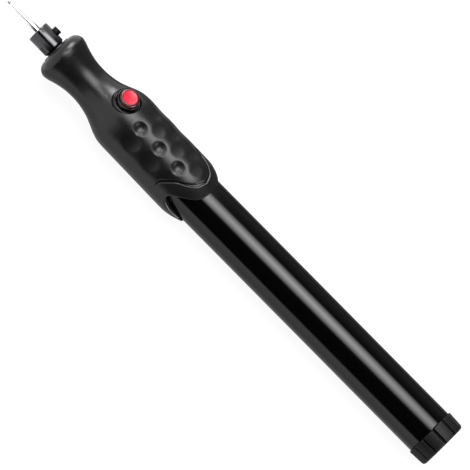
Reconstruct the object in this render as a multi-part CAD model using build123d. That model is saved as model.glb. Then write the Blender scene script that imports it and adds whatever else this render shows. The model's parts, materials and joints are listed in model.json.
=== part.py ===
from build123d import *
import math
import os

# Electric engraving pen: two cells in a tube, a small motor in a moulded grip, and a bit in a clamp
# collar. Lengths are in millimetres. X runs along the pen from the tail face to the tip, Z is up
# through the button, and Y = 0 is the plane of symmetry. Places along the pen are measured from the
# tail face and heights from the barrel's axis, until the last step sets the origin under the pen.
# A value whose name ends in share or shares is a share of the size beside it.

# Cells
cell_diameter = 10.5
cell_length = 44.5
cell_nub_diameter = 3.8
cell_nub_height = 0.9
cell_edge_round = 0.5
cell_count = 2

# Barrel
cell_clearance = 0.35
barrel_wall = 1.4
barrel_edge_break = 0.25
barrel_radius = cell_diameter / 2 + cell_clearance + barrel_wall
bore_radius = barrel_radius - barrel_wall

# Tail cap, its threaded plug and the spring
cap_length = 5.2
cap_flange = 0.45
cap_rear_taper = 0.25
cap_round = 0.9
cap_front_chamfer = 0.3
cap_end_wall = 1.8
cap_gap = 0.1
groove_count = 12
groove_turn = 7
groove_width = 0.55
groove_depth = 0.4
plug_clearance = 0.05
plug_flange_wall = 1.4
plug_flange_lap = 0.45
plug_reach = 4.9
plug_wall = 1.25
plug_floor = 1.0
plug_seat_clearance = 0.02
tail_wire = 0.6
tail_spring_length = 8.6
tail_turns = 5
tail_spring_play = 0.5
spring_gap = 0.1

# Contacts at the front of the cells
contact_thickness = 0.4
contact_radius = 3.0
rivet_radius = 0.8
carrier_thickness = 1.6
carrier_clearance = 0.02
ring_thickness = 1.0
ring_width = 0.9
ring_tab_length = 1.4
ring_tab_width = 1.6
ring_tab_thickness = 0.4
barrel_lip = 0.5

# Grip, from its skirt to the nose
socket_length = 12.7
socket_clearance = 0.05
socket_floor_gap = 0.1
rim_wall = 0.35
housing_wall = 1.0
cover_wall = 0.95
skirt_taper_length = 7.3
bell_flare = 1.78
bell_length = 9.45
bell_round = 2.8
nose_wall = 2.15
nose_cover = 0.8
nose_boss_radius = 3.5
nose_boss_step = 0.15
nose_seat_gap = 0.1
nose_hole_gap = 0.3
spindle_rise = 1.65
chamber_rise = 0.4
chamber_clearance = 0.35
seam_width = 0.2
seam_play = 0.03

# Switch and button
wire_room = 17.8
switch_length = 4.8
switch_width = 5.6
switch_height = 5.8
switch_edge_break = 0.3
button_setback = 3.8
button_radius = 2.75
button_round = 0.6
button_dish = 0.2
button_dish_margin = 0.65
button_stand = 2.03
button_skirt = 4.3
button_wall = 0.5
button_top_wall = 1.1
button_travel = 1.2
button_guide_gap = 0.15
button_hole_gap = 0.3
plunger_radius = 0.9
plunger_clearance = 0.1
plunger_engagement = 1.6
hub_wall = 0.4
hub_length = 1.2
hub_clearance = 0.02
spring_wire = 0.28
spring_turns = 5
spring_play = 0.3
bezel_radius = 3.9
bezel_gap = 0.08
bezel_depth = 3.0
bezel_collar_wall = 0.3
bezel_rim_wall = 0.35
bezel_collar_stand = 1.25
bezel_rim_drop = 0.25
bezel_groove_depth = 0.35
switch_gap = 2.5
terminal_radius = 0.3
terminal_length = 1.3
terminal_pitch = 2.6

# Motor
motor_gap = 2.4
motor_diameter = 8.0
motor_length = 16.0
motor_clearance = 0.03
motor_can_wall = 0.3
motor_edge_round = 0.4
neck_housing_wall = 0.92
neck_cover_share = 0.63
end_cap_length = 2.4
end_cap_clearance = 0.02
shaft_radius = 0.5
running_clearance = 0.02
bush_wall = 0.35
front_bush_length = 2.2
front_bush_stand = 0.5
rear_bush_length = 0.9
magnet_radius = 2.4
magnet_air_gap = 0.3
winding_wall = 0.6
winding_end_gap = 0.6
commutator_radius = 0.9
commutator_length = 1.5
commutator_gap = 0.3
hub_disc_thickness = 0.6
brush_gap = 0.05
brush_thickness = 0.15
brush_width = 0.8
tab_drop = 2.6
tab_length = 1.1
tab_width = 0.9
tab_thickness = 0.3

# Collar, set screw and bit
collar_gap = 0.3
collar_length = 6.8
collar_radius = 3.2
collar_front_round = 0.35
collar_rear_chamfer = 0.6
collar_shaft_grip = 1.85
screw_setback = 3.55
screw_radius = 1.22
screw_clearance = 0.03
screw_stand = 1.1
screw_socket_size = 1.3
screw_socket_depth = 1.2
screw_point_gap = 0.03
screw_edge_break = 0.15
screw_angle = 58
shank_radius = 1.175
shank_clearance = 0.02
shank_end_gap = 0.2
shank_straight = 3.4
bit_reach = 11.15
bit_neck_radius = 0.4
head_radius = 0.52

# Leads
lead_radius = 0.35
lead_clearance = 0.2
lead_bend_share = 0.45
positive_route_shares = (0.22, 0.62, 0.86)
positive_dip_share = 0.8
negative_route_shares = (0.2, 0.6)

overrun = 2.0

# Places along the pen
plug_flange_radius = barrel_radius + cap_flange - plug_flange_wall
spring_seat_x = cap_end_wall + plug_floor
cells_x = spring_seat_x + tail_spring_length + spring_gap
cells_end_x = cells_x + cell_count * cell_length
carrier_x = cells_end_x + contact_thickness
ring_x = carrier_x + carrier_thickness
barrel_x = cap_length + cap_gap
barrel_end_x = ring_x + ring_thickness + barrel_lip
skirt_x = barrel_end_x - socket_length
socket_end_x = barrel_end_x + socket_floor_gap
switch_x = barrel_end_x + wire_room
button_x = switch_x + switch_length / 2
motor_x = switch_x + switch_length + motor_gap
motor_end_x = motor_x + motor_length
nose_x = motor_end_x + nose_wall
body_x = skirt_x + skirt_taper_length
shoulder_x = button_x - button_setback
bell_x = nose_x - bell_round
neck_x = bell_x - bell_length
collar_x = nose_x + collar_gap
collar_end_x = collar_x + collar_length
screw_x = collar_end_x - screw_setback
pen_length = collar_end_x + bit_reach

tab_spread = commutator_radius + brush_gap + brush_thickness + tab_width / 2

# Radii of the grip
motor_radius = motor_diameter / 2
grip_radius = barrel_radius + socket_clearance + housing_wall + cover_wall
rim_radius = barrel_radius + socket_clearance + rim_wall
neck_radius = motor_radius + motor_clearance + neck_housing_wall + cover_wall * neck_cover_share
bell_radius = neck_radius + bell_flare

# Outline of the grip by zone: share of the zone's length, share of its change of radius,
# share of the spindle's rise, and share of the cover's wall.
skirt_shares = (
    (0.0, 0.0, 0.0, 0.1),
    (0.12, 0.22, 0.0, 0.2),
    (0.41, 0.65, 0.01, 0.55),
    (0.71, 0.93, 0.04, 0.85),
    (1.0, 1.0, 0.085, 1.0),
)
body_shares = (
    (0.1, 1.0, 0.13, 1.0),
    (0.22, 1.0, 0.18, 1.0),
    (0.34, 1.0, 0.23, 1.0),
    (0.46, 1.0, 0.285, 1.0),
    (0.58, 1.0, 0.335, 1.0),
    (0.7, 1.0, 0.39, 1.0),
    (0.82, 1.0, 0.445, 1.0),
    (0.92, 1.0, 0.485, 1.0),
)
shoulder_shares = (
    (0.0, 1.0, 0.52, 1.0),
    (0.15, 0.94, 0.54, 1.0),
    (0.29, 0.77, 0.55, 0.95),
    (0.44, 0.5, 0.56, 0.86),
    (0.58, 0.27, 0.59, 0.78),
    (0.73, 0.11, 0.65, 0.7),
    (0.87, 0.024, 0.7, 0.65),
    (1.0, 0.0, 0.745, 0.63),
)
bell_shares = (
    (0.25, 0.06, 0.79, 0.64),
    (0.46, 0.24, 0.84, 0.68),
    (0.68, 0.54, 0.89, 0.74),
    (0.88, 0.88, 0.93, 0.8),
    (1.0, 1.0, 0.945, 0.84),
)


def zone(start, end, start_radius, end_radius, shares):
    """Stations of one zone: place, radius, rise and cover wall."""
    return [
        (
            start + (end - start) * along,
            start_radius + (end_radius - start_radius) * swell,
            spindle_rise * rise,
            cover_wall * cover,
        )
        for along, swell, rise, cover in shares
    ]


grip_stations = (
    zone(skirt_x, body_x, rim_radius, grip_radius, skirt_shares)
    + zone(body_x, shoulder_x, rim_radius, grip_radius, body_shares)
    + zone(shoulder_x, neck_x, neck_radius, grip_radius, shoulder_shares)
    + zone(neck_x, bell_x, neck_radius, bell_radius, bell_shares)
)


def section_at(x):
    """Radius and rise of the grip's section at a place, between its stations."""
    for before, after in zip(grip_stations, grip_stations[1:]):
        if x <= after[0]:
            share = (x - before[0]) / (after[0] - before[0])
            return [low + (high - low) * share for low, high in zip(before[1:3], after[1:3])]
    return list(grip_stations[-1][1:3])


# Heights at the button
button_section = section_at(button_x)
surface_z = sum(button_section)
button_top_z = surface_z + button_stand
bezel_seat_z = surface_z - bezel_depth
bezel_rim_z = surface_z - bezel_rim_drop
bezel_collar_z = surface_z + bezel_collar_stand
switch_top_z = bezel_seat_z - switch_gap
switch_bottom_z = switch_top_z - switch_height
ceiling_z = button_top_z - button_top_wall

# Where the leads run under the switch
lead_low_z = switch_bottom_z - 2 * lead_radius
lead_side_y = switch_width / 2 - lead_radius

# Dimples in the cover: angle from the button's plane, mouth radius, depth and places
dimple_radius = 2.0
dimple_depth = 0.75
crown_dimple_depth = 0.32
side_dimple_radius = 2.9
side_dimple_depth = 0.3
dimple_pitch = 7.2
dimple_angle = 21
side_dimple_angle = 48
row_setback = 4.1
crown_row_setback = 7.7
side_row_setback = 4.8
dimple_count = 3


def tube_x(start, end, outer, inner, rise=0.0):
    """A round tube along X, solid when its inner radius is zero."""
    length = end - start
    body = Pos(start + length / 2, 0, rise) * Rot(0, 90, 0) * Cylinder(outer, length)
    if inner > 0:
        body -= Pos(start + length / 2, 0, rise) * Rot(0, 90, 0) * Cylinder(inner, length + 2 * overrun)
    return body


def tube_z(x, bottom, top, outer, inner=0.0):
    """A round tube along Z over a place on the pen."""
    height = top - bottom
    body = Pos(x, 0, bottom + height / 2) * Cylinder(outer, height)
    if inner > 0:
        body -= Pos(x, 0, bottom + height / 2) * Cylinder(inner, height + 2 * overrun)
    return body


def turned(points, rise=0.0):
    """A solid of revolution about X from (place, radius) corners."""
    face = make_face(Polyline(*[(x, 0, r) for x, r in points], close=True))
    return Pos(0, 0, rise) * revolve(face, Axis.X)


def block(low, high):
    """A box between two corners."""
    size = [b - a for a, b in zip(low, high)]
    middle = [(a + b) / 2 for a, b in zip(low, high)]
    return Pos(*middle) * Box(*size)


def edges_at(shape, place, axis=Axis.X):
    """The edges of a shape that lie at one place along an axis."""
    tolerance = overrun / 1000
    return shape.edges().filter_by_position(axis, place - tolerance, place + tolerance)


def ring_edges(shape, place, axis=Axis.X):
    """The round edges of a shape at one place along an axis."""
    return edges_at(shape, place, axis).filter_by(GeomType.CIRCLE)


def outer_ring_edge(shape, place):
    """The largest round edge of a shape at one place along X."""
    return ring_edges(shape, place).sort_by(SortBy.RADIUS)[-1]


# Wound and bent wire
def biarc(start, start_way, end, end_way):
    """Two arcs that join two points and keep both directions."""
    chord = end - start
    ways = start_way + end_way
    spread = 4 - ways.dot(ways)
    reach = chord.dot(ways)
    length = (math.sqrt(reach * reach + spread * chord.dot(chord)) - reach) / spread
    joint = (start + start_way * length + end - end_way * length) / 2
    first = Edge.make_tangent_arc(start, start_way, joint)
    joint_way = (end - end_way * length - start - start_way * length).normalized()
    second = Edge.make_tangent_arc(joint, joint_way, end)
    return [first, second]


def coil(base, turn_radius, wire, height, turns, name):
    """A compression spring wound up its axis from a base plane, as one tube with straight ends."""
    climb = (height - wire) / (turns + wire / (math.pi * turn_radius))
    steps = 4 * turns
    slope = climb / (2 * math.pi * turn_radius)
    steep = math.sqrt(1 + slope * slope)
    points = []
    ways = []
    for step in range(steps + 1):
        angle = 2 * math.pi * step / 4
        level = wire / 2 + wire * slope + climb * step / 4
        place = Vector(turn_radius * math.cos(angle), turn_radius * math.sin(angle), level)
        way = Vector(-math.sin(angle), math.cos(angle), slope) / steep
        points.append(place)
        ways.append(way)
    edges = [Edge.make_line(points[0] - ways[0] * wire, points[0])]
    for step in range(steps):
        edges += biarc(points[step], ways[step], points[step + 1], ways[step + 1])
    edges.append(Edge.make_line(points[-1], points[-1] + ways[-1] * wire))
    least = min(
        (points[a] - points[b]).length
        for a in range(len(points))
        for b in range(a + 3, len(points))
    )
    print(name, "least gap to itself", round(least - wire, 3))
    path = Wire(edges)
    start = points[0] - ways[0] * wire
    profile = Plane(origin=start, z_dir=ways[0]) * Circle(wire / 2)
    return base * sweep(profile, path=path)


def lead(points, name):
    """An insulated lead: straight runs joined by arcs as large as the runs allow."""
    spots = [Vector(*point) for point in points]
    radii = []
    for before, corner, after in zip(spots, spots[1:], spots[2:]):
        arrive = corner - before
        leave = after - corner
        half_turn = math.radians(arrive.get_angle(leave)) / 2
        radii.append(lead_bend_share * min(arrive.length, leave.length) / math.tan(half_turn))
    print(name, "bend radii", [round(radius, 2) for radius in radii])
    path = FilletPolyline(*spots, radius=radii)
    profile = Plane(origin=spots[0], z_dir=spots[1] - spots[0]) * Circle(lead_radius)
    return sweep(profile, path=path)


# Cells, barrel and tail
def cell(start):
    """One cylindrical cell with its nub towards the tip."""
    can_end = start + cell_length - cell_nub_height
    radius = cell_diameter / 2
    body = tube_x(start, can_end, radius, 0)
    body = fillet(ring_edges(body, start) + ring_edges(body, can_end), cell_edge_round)
    return body + tube_x(can_end, start + cell_length, cell_nub_diameter / 2, 0)


def barrel():
    """The lacquered tube that holds the cells."""
    body = tube_x(barrel_x, barrel_end_x, barrel_radius, bore_radius)
    edges = [outer_ring_edge(body, barrel_x), outer_ring_edge(body, barrel_end_x)]
    return chamfer(edges, barrel_edge_break)


def tail_cap():
    """The moulded cap: a low cone with a rounded end and narrow grooves along its side."""
    front_radius = barrel_radius + cap_flange
    rear_radius = front_radius - cap_rear_taper
    body = turned([(0, 0), (0, rear_radius), (cap_length, front_radius), (cap_length, 0)])
    body = fillet(outer_ring_edge(body, 0), cap_round)
    body = chamfer(outer_ring_edge(body, cap_length), cap_front_chamfer)
    floor_radius = front_radius - groove_depth
    for step in range(groove_count):
        groove = block(
            (-overrun, -groove_width / 2, floor_radius),
            (cap_length + overrun, groove_width / 2, front_radius + overrun),
        )
        body -= Rot(groove_turn + 360 * step / groove_count, 0, 0) * groove
    pocket = plug_flange_radius + plug_seat_clearance
    return body - tube_x(cap_end_wall, cap_length + overrun, pocket, 0)


def tail_plug():
    """The brass plug moulded into the cap: a flange, and a threaded cup that the spring sits in."""
    flange_end = cap_length - plug_flange_lap
    plug_radius = bore_radius - plug_clearance
    body = tube_x(cap_end_wall, flange_end, plug_flange_radius, 0)
    body += tube_x(flange_end, cap_length + plug_reach, plug_radius, 0)
    body = chamfer(outer_ring_edge(body, cap_length + plug_reach), plug_wall / 4)
    return body - tube_x(spring_seat_x, cap_length + plug_reach + overrun, plug_radius - plug_wall, 0)


def tail_spring():
    """The spring that presses the cells forward."""
    cup_radius = bore_radius - plug_clearance - plug_wall
    turn_radius = cup_radius - tail_spring_play - tail_wire / 2
    base = Pos(spring_seat_x, 0, 0) * Rot(0, 90, 0)
    return coil(base, turn_radius, tail_wire, tail_spring_length, tail_turns, "tail_spring")


# Contacts
def positive_contact():
    """A round contact with a rivet through the carrier."""
    disc = tube_x(cells_end_x, carrier_x, contact_radius, 0)
    return disc + tube_x(carrier_x, ring_x, rivet_radius, 0)


def contact_carrier():
    """The insulating disc across the barrel's front end."""
    return tube_x(carrier_x, ring_x, bore_radius - carrier_clearance, rivet_radius + carrier_clearance)


def barrel_contact():
    """The brass ring inside the barrel's front end, with a tab for its lead."""
    outer = bore_radius - carrier_clearance
    body = tube_x(ring_x, ring_x + ring_thickness, outer, outer - ring_width)
    tab_top = ring_width + ring_tab_thickness - outer
    tab = block(
        (ring_x, -ring_tab_width / 2, tab_top - ring_tab_thickness - ring_width / 2),
        (ring_x + ring_thickness + ring_tab_length, ring_tab_width / 2, tab_top - ring_width / 2),
    )
    return body + tab


# Grip
def grip_form(cover_share, nose_trim):
    """The grip's outer form, or the form under its cover, as a loft through round sections."""
    end_x = nose_x - nose_trim
    sections = [
        Plane(origin=(x, 0, rise), x_dir=(0, 1, 0), z_dir=(1, 0, 0)) * Circle(radius - cover * cover_share)
        for x, radius, rise, cover in grip_stations
    ]
    _, radius, rise, cover = grip_stations[-1]
    end_plane = Plane(origin=(end_x, 0, rise), x_dir=(0, 1, 0), z_dir=(1, 0, 0))
    sections.append(end_plane * Circle(radius - cover * cover_share))
    body = loft(sections)
    return fillet(edges_at(body, end_x), bell_round - nose_trim)


# The cover's rear edge in side view: back to a tongue over the barrel at the top, and
# steep at the sides. Shares of the body's radius in height, and of the edge's length.
cover_tongue_setback = 4.4
cover_side_setback = 4.6
cover_edge_shares = (
    (0.0, 1.0),
    (0.145, 0.93),
    (0.37, 0.85),
    (0.61, 0.78),
    (0.87, 0.58),
    (1.0, 0.36),
)


def cover_rear(shift):
    """Everything behind the cover's rear edge, as a block cut to a curve in side view."""
    tongue_x = body_x - cover_tongue_setback + shift
    side_x = body_x + cover_side_setback + shift
    top = grip_radius + overrun
    bottom = -grip_radius - overrun
    far = skirt_x - overrun
    curve = [
        (tongue_x + (side_x - tongue_x) * along, 0, grip_radius * height)
        for along, height in cover_edge_shares
    ]
    edge = Spline(*curve, tangents=[(0, 0, -1), (0, 0, -1)])
    outline = Polyline((side_x, 0, grip_radius * cover_edge_shares[-1][1]), (side_x, 0, bottom),
                       (far, 0, bottom), (far, 0, top), (tongue_x, 0, top), (tongue_x, 0, grip_radius))
    return extrude(make_face(edge + outline), grip_radius + overrun, dir=(0, 1, 0), both=True)


# The skirt's side notch in side view: its deepest point, its mouth, and the points between.
notch_depth = 7.5
notch_top = 6.8
notch_bottom = -3.4
notch_middle = 2.3
notch_upper_share = (0.58, 0.68)
notch_lower_share = (0.67, 0.56)


def skirt_notch():
    """The curved notch that opens the skirt's side over the barrel."""
    deep_x = skirt_x + notch_depth
    upper = (skirt_x + notch_depth * notch_upper_share[0], 0,
             notch_middle + (notch_top - notch_middle) * notch_upper_share[1])
    lower = (skirt_x + notch_depth * notch_lower_share[0], 0,
             notch_middle + (notch_bottom - notch_middle) * notch_lower_share[1])
    mouth_top = (skirt_x, 0, notch_top)
    mouth_bottom = (skirt_x, 0, notch_bottom)
    edge = Spline(mouth_top, upper, (deep_x, 0, notch_middle), lower, mouth_bottom)
    outline = Polyline(mouth_bottom, (skirt_x - overrun, 0, notch_bottom),
                       (skirt_x - overrun, 0, notch_top), mouth_top)
    return extrude(make_face(edge + outline), grip_radius + overrun, dir=(0, 1, 0), both=True)


def wiring_chamber():
    """The hollow in front of the barrel for the leads and the switch."""
    rear_radius = bore_radius + chamber_clearance
    reach_up = max(switch_top_z - chamber_rise, chamber_rise - switch_bottom_z)
    switch_room = math.hypot(switch_width / 2, reach_up) + chamber_clearance
    lead_room = math.hypot(lead_side_y, chamber_rise - lead_low_z) + lead_radius + lead_clearance
    front_radius = max(switch_room, lead_room)
    outline = [(barrel_end_x, 0), (barrel_end_x, rear_radius), (motor_x, front_radius), (motor_x, 0)]
    return turned(outline, chamber_rise)


def grip_housing(form, form_under):
    """The hard shell: skirt over the barrel, switch chamber, motor bore and nose."""
    body = form_under + (form & cover_rear(0))
    boss_x = nose_x - nose_cover - bell_round
    body += tube_x(boss_x, nose_x - nose_boss_step, nose_boss_radius, 0, spindle_rise)
    socket_radius = barrel_radius + socket_clearance
    body -= tube_x(skirt_x - overrun, socket_end_x, socket_radius, 0)
    body -= skirt_notch()
    body -= wiring_chamber()
    bore = motor_radius + motor_clearance
    body -= tube_x(switch_x, motor_end_x + nose_seat_gap, bore, 0, spindle_rise)
    body -= tube_x(motor_end_x, nose_x + overrun, shaft_radius + bush_wall + nose_hole_gap, 0, spindle_rise)
    body -= tube_z(button_x, chamber_rise, surface_z + overrun, button_radius + button_hole_gap)
    body -= tube_z(button_x, bezel_seat_z, surface_z + overrun, bezel_radius + bezel_gap)
    return body


def dimple(x, angle, mouth, depth):
    """A ball that cuts one dimple."""
    radius, rise = section_at(x)
    ball = (mouth * mouth + depth * depth) / (2 * depth)
    return Pos(x, 0, rise) * Rot(angle, 0, 0) * Pos(0, 0, radius + ball - depth) * Sphere(ball)


def dimple_rows():
    """All dimples: a shallow row along the crown, a sharp row each side of it and a broad one below."""
    rows = [(0, crown_row_setback, dimple_radius, crown_dimple_depth)]
    for side in (-1, 1):
        rows.append((side * dimple_angle, row_setback, dimple_radius, dimple_depth))
        rows.append((side * side_dimple_angle, side_row_setback, side_dimple_radius, side_dimple_depth))
    return [
        dimple(shoulder_x - setback - dimple_pitch * step, angle, mouth, depth)
        for angle, setback, mouth, depth in rows
        for step in range(dimple_count)
    ]


def grip_cover(form, form_under):
    """The soft cover over the hard shell, with its dimples and the hole for the bezel."""
    body = form - form_under - cover_rear(seam_width)
    boss_x = nose_x - nose_cover - bell_round
    body -= tube_x(boss_x, nose_x + overrun, nose_boss_radius + seam_play, 0, spindle_rise)
    body -= tube_z(button_x, chamber_rise, surface_z + overrun, bezel_radius + bezel_gap)
    for ball in dimple_rows():
        body -= ball
    return body


# Switch and button
def switch_bezel():
    """The glossy ring round the button: level, proud of the sloping grip, with a groove and a guide."""
    guide = button_radius + button_guide_gap
    collar_outer = guide + bezel_collar_wall
    body = tube_z(button_x, bezel_seat_z, bezel_rim_z, bezel_radius, guide)
    groove_outer = bezel_radius - bezel_rim_wall
    groove_z = bezel_rim_z - bezel_groove_depth
    body -= tube_z(button_x, groove_z, bezel_rim_z + overrun, groove_outer, collar_outer)
    return body + tube_z(button_x, bezel_seat_z, bezel_collar_z, collar_outer, guide)


def switch_body():
    """The latching switch under the button."""
    half = switch_width / 2
    body = block((switch_x, -half, switch_bottom_z), (switch_x + switch_length, half, switch_top_z))
    body = chamfer(body.edges().filter_by(Axis.Z), switch_edge_break)
    well = switch_top_z - plunger_engagement - button_travel - plunger_clearance
    return body - tube_z(button_x, well, switch_top_z + overrun, plunger_radius + plunger_clearance)


def switch_terminals():
    """Two pins under the switch."""
    places = [button_x - terminal_pitch / 2, button_x + terminal_pitch / 2]
    return [tube_z(x, switch_bottom_z - terminal_length, switch_bottom_z, terminal_radius) for x in places]


def button_cap():
    """The red cap: a hollow cup with a rounded edge, a dished top and a hub for the plunger."""
    body = tube_z(button_x, button_top_z - button_skirt, button_top_z, button_radius)
    body = fillet(ring_edges(body, button_top_z, Axis.Z), button_round)
    dish_mouth = button_radius - button_dish_margin
    ball = (dish_mouth * dish_mouth + button_dish * button_dish) / (2 * button_dish)
    body -= Pos(button_x, 0, button_top_z + ball - button_dish) * Sphere(ball)
    body -= tube_z(button_x, button_top_z - button_skirt - overrun, ceiling_z, button_radius - button_wall)
    hub = tube_z(button_x, ceiling_z - hub_length, ceiling_z, plunger_radius + hub_wall)
    body += hub
    return body - tube_z(button_x, ceiling_z - hub_length - overrun, ceiling_z, plunger_radius + hub_clearance)


def button_plunger():
    """The stem between the cap and the switch."""
    return tube_z(button_x, switch_top_z - plunger_engagement, ceiling_z, plunger_radius)


def button_spring():
    """The return spring round the plunger, between the switch and the cap."""
    room = button_radius - button_wall
    turn_radius = room - spring_play - spring_wire / 2
    base = Pos(button_x, 0, switch_top_z)
    return coil(base, turn_radius, spring_wire, ceiling_z - switch_top_z, spring_turns, "button_spring")


# Motor: a coreless one, whose cup of wire turns round a fixed magnet
end_cap_end_x = motor_x + end_cap_length
commutator_x = motor_x + rear_bush_length + commutator_gap
hub_disc_x = commutator_x + commutator_length
winding_x = hub_disc_x + hub_disc_thickness
front_wall_x = motor_end_x - motor_can_wall
magnet_x = winding_x + winding_end_gap
magnet_end_x = front_wall_x
winding_end_x = front_wall_x - winding_end_gap
winding_inner = magnet_radius + magnet_air_gap


def motor_can():
    """The drawn steel can, open at the rear."""
    body = tube_x(motor_x, motor_end_x, motor_radius, 0, spindle_rise)
    body = fillet(outer_ring_edge(body, motor_end_x), motor_edge_round)
    body -= tube_x(motor_x - overrun, front_wall_x, motor_radius - motor_can_wall, 0, spindle_rise)
    bush_hole = shaft_radius + running_clearance + bush_wall
    return body - tube_x(front_wall_x - overrun, motor_end_x + overrun, bush_hole, 0, spindle_rise)


def motor_end_cap():
    """The moulded end cap that holds the rear bush, the brushes and the terminals."""
    outer = motor_radius - motor_can_wall - end_cap_clearance
    bush_hole = shaft_radius + running_clearance + bush_wall
    body = tube_x(motor_x, end_cap_end_x, outer, bush_hole, spindle_rise)
    well = commutator_radius + brush_gap + brush_thickness + brush_width
    body -= tube_x(motor_x + rear_bush_length, end_cap_end_x + overrun, well, 0, spindle_rise)
    for metal in terminal_tabs(end_cap_clearance) + brush_leaves(end_cap_clearance):
        body -= metal
    return body


def terminal_tabs(allowance):
    """The two flat terminals through the end cap."""
    half_width = tab_width / 2 + allowance
    half_thickness = tab_thickness / 2 + allowance
    height = spindle_rise - tab_drop
    return [
        block(
            (motor_x - tab_length, side * tab_spread - half_width, height - half_thickness),
            (end_cap_end_x, side * tab_spread + half_width, height + half_thickness),
        )
        for side in (-1, 1)
    ]


def brush_leaves(allowance):
    """Two thin leaves from the terminals up past the commutator, one each side."""
    near = commutator_radius + brush_gap - allowance
    far = near + brush_thickness + 2 * allowance
    low = spindle_rise - tab_drop - tab_thickness / 2 - allowance
    return [
        block(
            (commutator_x + brush_gap, min(side * near, side * far), low),
            (end_cap_end_x - brush_gap + allowance, max(side * near, side * far), spindle_rise + brush_width),
        )
        for side in (-1, 1)
    ]


def motor_bush(start, length):
    """A plain bush for the shaft."""
    bore = shaft_radius + running_clearance
    return tube_x(start, start + length, bore + bush_wall, bore, spindle_rise)


def motor_magnet():
    """The round magnet fixed to the can's front wall."""
    bore = shaft_radius + running_clearance + bush_wall
    return tube_x(magnet_x, magnet_end_x, magnet_radius, bore, spindle_rise)


def rotor_hub():
    """The disc that carries the winding on the shaft."""
    return tube_x(hub_disc_x, winding_x, winding_inner + winding_wall, shaft_radius, spindle_rise)


def rotor_winding():
    """The cup of bonded wire."""
    outer = winding_inner + winding_wall
    return tube_x(winding_x, winding_end_x, outer, winding_inner, spindle_rise)


def commutator():
    """The copper commutator behind the rotor's hub."""
    return tube_x(commutator_x, hub_disc_x, commutator_radius, shaft_radius, spindle_rise)


def motor_shaft():
    """The shaft from the rear bush to the collar."""
    return tube_x(motor_x, collar_x + collar_shaft_grip, shaft_radius, 0, spindle_rise)


# Collar, set screw and bit
def on_screw_axis(shape):
    """Sets a shape made along Z, with its foot on the spindle's axis, at the screw's place."""
    return Pos(screw_x, 0, spindle_rise) * Rot(screw_angle, 0, 0) * shape


def collar():
    """The clamp collar, pressed on the shaft, with a bore for the bit and a cross hole for its screw."""
    body = tube_x(collar_x, collar_end_x, collar_radius, 0, spindle_rise)
    body = fillet(outer_ring_edge(body, collar_end_x), collar_front_round)
    body = chamfer(outer_ring_edge(body, collar_x), collar_rear_chamfer)
    body -= tube_x(collar_x - overrun, collar_x + collar_shaft_grip, shaft_radius, 0, spindle_rise)
    bit_bore = shank_radius + shank_clearance
    body -= tube_x(collar_x + collar_shaft_grip, collar_end_x + overrun, bit_bore, 0, spindle_rise)
    cross = collar_radius + overrun
    return body - on_screw_axis(Pos(0, 0, cross / 2) * Cylinder(screw_radius + screw_clearance, cross))


def set_screw():
    """The headless screw that clamps the bit, with a hexagonal socket."""
    foot = shank_radius + screw_point_gap
    top = collar_radius + screw_stand
    height = top - foot
    body = Pos(0, 0, foot + height / 2) * Cylinder(screw_radius, height)
    body = chamfer(body.edges().filter_by(GeomType.CIRCLE), screw_edge_break)
    hexagon = RegularPolygon(screw_socket_size / 2, 6, major_radius=False)
    body -= extrude(Pos(0, 0, top - screw_socket_depth) * hexagon, screw_socket_depth + overrun)
    return on_screw_axis(body)


bit_x = collar_x + collar_shaft_grip + shank_end_gap
head_x = pen_length - head_radius
taper_x = collar_end_x + shank_straight


def bit_shank():
    """The polished shank, drawn down to a slim neck behind the head."""
    neck_end = head_x - math.sqrt(head_radius * head_radius - bit_neck_radius * bit_neck_radius)
    outline = [(bit_x, 0), (bit_x, shank_radius), (taper_x, shank_radius),
               (neck_end, bit_neck_radius), (neck_end, 0)]
    return turned(outline, spindle_rise)


def bit_head():
    """The ball at the tip, cut flat where it meets the neck."""
    neck_end = head_x - math.sqrt(head_radius * head_radius - bit_neck_radius * bit_neck_radius)
    ball = Pos(head_x, 0, spindle_rise) * Sphere(head_radius)
    return ball - tube_x(neck_end - overrun, neck_end, head_radius + overrun, 0, spindle_rise)


# Leads
def leads():
    """Three leads: cells to switch, switch to motor, and barrel to motor."""
    rear_pin = button_x - terminal_pitch / 2
    front_pin = button_x + terminal_pitch / 2
    tab_x = motor_x - tab_length / 2
    tab_z = spindle_rise - tab_drop - tab_thickness / 2
    ring_tab_x = ring_x + ring_thickness + ring_tab_length
    ring_tab_z = ring_width / 2 + ring_tab_thickness / 2 - bore_radius + carrier_clearance
    room = switch_x - barrel_end_x
    positive = [
        (ring_x, 0, 0),
        (ring_x + room * positive_route_shares[0], 0, 0),
        (ring_x + room * positive_route_shares[1], 0, lead_low_z * positive_dip_share),
        (ring_x + room * positive_route_shares[2], 0, lead_low_z),
        (rear_pin - terminal_radius, 0, lead_low_z),
    ]
    switched = [
        (front_pin, -terminal_radius, lead_low_z),
        (front_pin, -tab_spread, lead_low_z),
        (tab_x, -tab_spread, lead_low_z),
        (tab_x, -tab_spread, tab_z),
    ]
    negative = [
        (ring_tab_x, 0, ring_tab_z),
        (ring_tab_x + room * negative_route_shares[0], 0, ring_tab_z),
        (ring_tab_x + room * negative_route_shares[1], lead_side_y, lead_low_z),
        (front_pin, lead_side_y, lead_low_z),
        (tab_x, tab_spread, lead_low_z),
        (tab_x, tab_spread, tab_z),
    ]
    return {"lead_positive": positive, "lead_switched": switched, "lead_negative": negative}


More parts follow.
